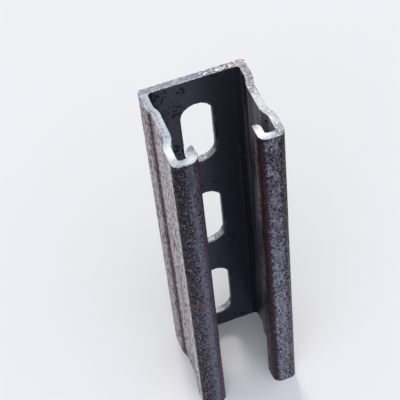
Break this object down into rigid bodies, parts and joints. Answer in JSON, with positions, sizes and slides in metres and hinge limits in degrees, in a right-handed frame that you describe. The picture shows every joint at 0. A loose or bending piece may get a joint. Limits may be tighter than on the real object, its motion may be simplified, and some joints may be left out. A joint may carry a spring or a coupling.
{
  "type": "solar mounting rail",
  "caption": "Short cut piece of slotted steel strut channel with a slotted back, waisted side walls, inturned lips and an open mouth for channel nuts.",
  "frame": {"origin": "centre of the sawn foot, midway across the section", "axes": "+Z runs along the rail, +Y points out of the slotted back and -Y out of the mouth, +X across the section"},
  "size_m": [0.042, 0.041, 0.153],
  "materials": {
    "slotted_rail": "raw hot-rolled steel with dark mill scale and bare cut ends"
  },
  "bodies": {
    "root": {"slotted_rail": "slotted_rail"}
  },
  "joints": []
}
